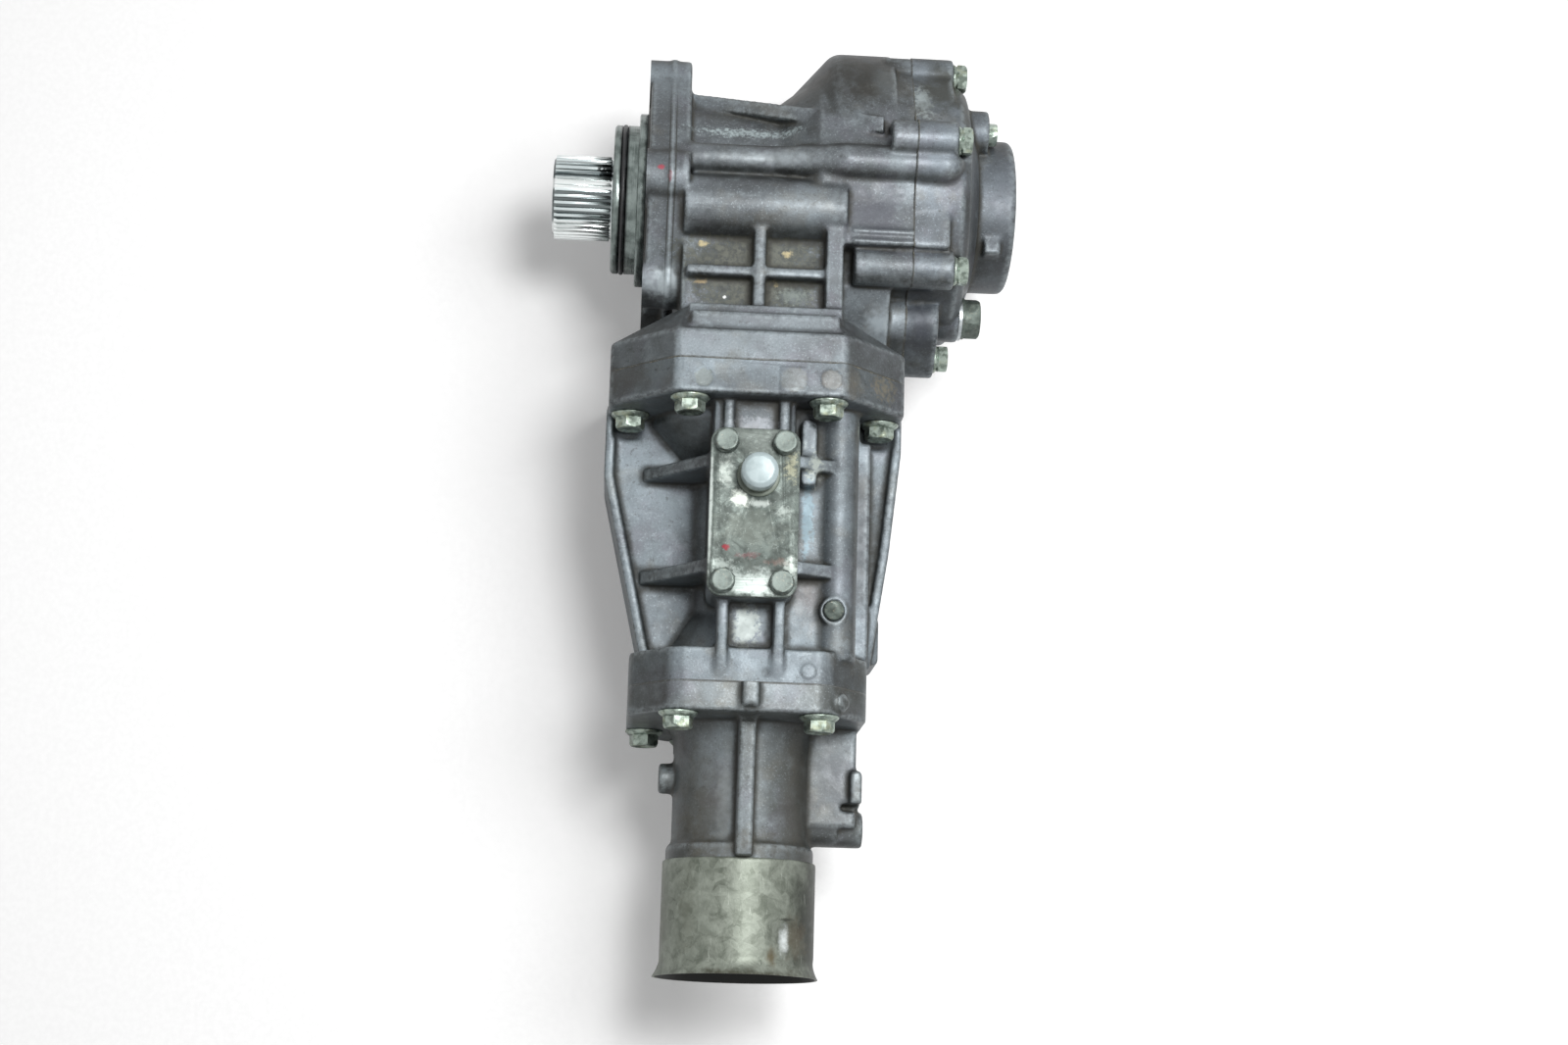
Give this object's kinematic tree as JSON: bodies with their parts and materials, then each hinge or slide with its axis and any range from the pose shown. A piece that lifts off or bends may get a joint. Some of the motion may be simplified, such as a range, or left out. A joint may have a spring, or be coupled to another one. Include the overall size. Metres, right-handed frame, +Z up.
{
  "type": "transfer case",
  "caption": "Right-angle transfer case with a splined hollow input shaft, bevel gear pair, bolted castings and an open tail for a slip yoke.",
  "frame": {"origin": "point where the input axis crosses the face that meets the transaxle", "axes": "+X along the input axis from the transaxle to the side cover, -Y along the output axis to the tail, +Z up with the part on its back"},
  "size_m": [0.2203, 0.446, 0.1578],
  "materials": {
    "cast_case": "as-cast, stained",
    "cast_cover": "as-cast",
    "cast_adapter": "as-cast, stained",
    "cast_extension": "as-cast, greasy",
    "galvanised_sheet": "galvanised, stained",
    "plate_steel": "zinc plated, mottled",
    "zinc_fastener": "zinc plated",
    "vent_cap": "satin grey",
    "machined_steel": "machined",
    "bearing_steel": "ground",
    "gear_steel": "case hardened",
    "cage_steel": "pressed",
    "seal_rubber": "moulded",
    "gasket_fibre": "compressed fibre",
    "soft_aluminium": "annealed",
    "bushing_bronze": "machined"
  },
  "bodies": {
    "casing": {"main_case": "cast_case", "side_cover": "cast_cover", "adapter_housing": "cast_adapter", "extension_housing": "cast_extension", "dust_guard": "galvanised_sheet", "access_plate": "plate_steel", "plate_gasket": "gasket_fibre", "adapter_bolts": "zinc_fastener", "extension_bolts": "zinc_fastener", "cover_bolts": "zinc_fastener", "plate_bolts": "zinc_fastener", "dowel_pins": "bearing_steel", "drain_plug": "zinc_fastener", "drain_gasket": "soft_aluminium", "lug_bolt": "zinc_fastener", "fill_plug": "zinc_fastener", "fill_gasket": "soft_aluminium", "gallery_plug": "zinc_fastener", "breather_cap": "vent_cap", "pilot_ring": "machined_steel", "pilot_o_ring": "seal_rubber", "cover_o_ring": "seal_rubber", "input_seal": "seal_rubber", "side_cover_seal": "seal_rubber", "output_seal": "seal_rubber", "extension_bushing": "bushing_bronze", "input_left_bearing_cup": "bearing_steel", "input_right_bearing_cup": "bearing_steel", "pinion_front_bearing_cup": "bearing_steel", "pinion_rear_bearing_cup": "bearing_steel", "output_bearing_outer": "bearing_steel"},
    "input_train": {"input_shaft": "machined_steel", "ring_gear": "gear_steel", "ring_gear_bolts": "zinc_fastener", "input_left_bearing_cone": "bearing_steel", "input_right_bearing_cone": "bearing_steel"},
    "output_train": {"driven_pinion": "gear_steel", "pinion_front_bearing_cone": "bearing_steel", "pinion_rear_bearing_cone": "bearing_steel", "pinion_spacer": "machined_steel", "pinion_lock_nut": "machined_steel", "coupling_sleeve": "machined_steel", "output_shaft": "machined_steel", "output_bearing_inner": "bearing_steel", "bearing_circlip": "machined_steel"},
    "input_left_bearing_set": {"input_left_bearing_rollers": "bearing_steel", "input_left_bearing_cage": "cage_steel"},
    "input_right_bearing_set": {"input_right_bearing_rollers": "bearing_steel", "input_right_bearing_cage": "cage_steel"},
    "pinion_front_bearing_set": {"pinion_front_bearing_rollers": "bearing_steel", "pinion_front_bearing_cage": "cage_steel"},
    "pinion_rear_bearing_set": {"pinion_rear_bearing_rollers": "bearing_steel", "pinion_rear_bearing_cage": "cage_steel"},
    "output_bearing_set": {"output_bearing_balls": "bearing_steel", "output_bearing_cage": "cage_steel"}
  },
  "joints": [
    {"name": "input_spin", "type": "hinge", "parent": "casing", "child": "input_train", "pos_m": [0, 0, 0], "axis": [1, 0, 0], "continuous": true},
    {"name": "output_spin", "type": "hinge", "parent": "casing", "child": "output_train", "pos_m": [0.055, 0, 0], "axis": [0, 1, 0], "continuous": true},
    {"name": "input_left_bearing_roll", "type": "hinge", "parent": "casing", "child": "input_left_bearing_set", "pos_m": [0, 0, 0], "axis": [1, 0, 0], "continuous": true},
    {"name": "input_right_bearing_roll", "type": "hinge", "parent": "casing", "child": "input_right_bearing_set", "pos_m": [0, 0, 0], "axis": [1, 0, 0], "continuous": true},
    {"name": "pinion_front_bearing_roll", "type": "hinge", "parent": "casing", "child": "pinion_front_bearing_set", "pos_m": [0.055, 0, 0], "axis": [0, 1, 0], "continuous": true},
    {"name": "pinion_rear_bearing_roll", "type": "hinge", "parent": "casing", "child": "pinion_rear_bearing_set", "pos_m": [0.055, 0, 0], "axis": [0, 1, 0], "continuous": true},
    {"name": "output_bearing_roll", "type": "hinge", "parent": "casing", "child": "output_bearing_set", "pos_m": [0.055, 0, 0], "axis": [0, 1, 0], "continuous": true}
  ],
  "couplings": [
    {"joint": "output_spin", "follows": "input_spin", "ratio": 2.1875},
    {"joint": "input_left_bearing_roll", "follows": "input_spin", "ratio": 0.44},
    {"joint": "input_right_bearing_roll", "follows": "input_spin", "ratio": 0.44},
    {"joint": "pinion_front_bearing_roll", "follows": "input_spin", "ratio": 0.94063},
    {"joint": "pinion_rear_bearing_roll", "follows": "input_spin", "ratio": 0.94063},
    {"joint": "output_bearing_roll", "follows": "input_spin", "ratio": 0.875}
  ]
}
